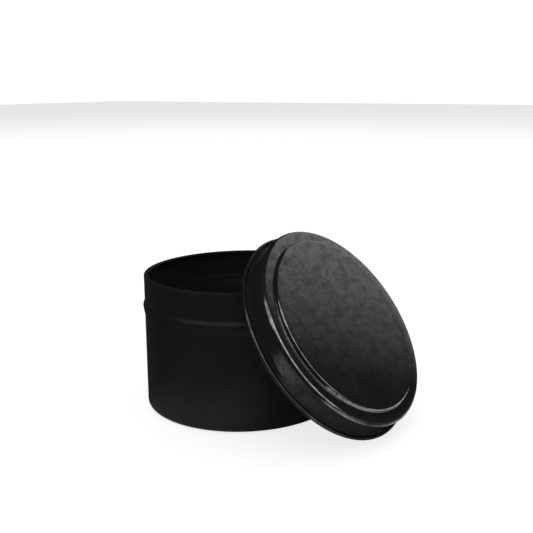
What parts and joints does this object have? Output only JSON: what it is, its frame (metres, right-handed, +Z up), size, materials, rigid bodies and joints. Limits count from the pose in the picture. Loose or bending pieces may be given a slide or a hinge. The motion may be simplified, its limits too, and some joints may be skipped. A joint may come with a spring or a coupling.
{
  "type": "candle tin",
  "caption": "Round black candle tin: a drawn body with a rolled rim and a stop bead, and a slip lid with a curled edge leaning open against the rim.",
  "frame": {"origin": "centre of the tin's base, on the surface that it stands on", "axes": "+Z up along the tin's axis, +X towards the leaning lid, +Y to the left when looking along +X"},
  "size_m": [0.1106, 0.0837, 0.0694],
  "materials": {
    "tin_black": "satin",
    "lid_black": "satin"
  },
  "bodies": {
    "tin": {"tin_body": "tin_black"},
    "lid": {"slip_lid": "lid_black"}
  },
  "joints": [
    {"name": "lid_lift", "type": "slide", "parent": "tin", "child": "lid", "axis": [0, 0, 1], "range_m": [0, 0.06]}
  ]
}
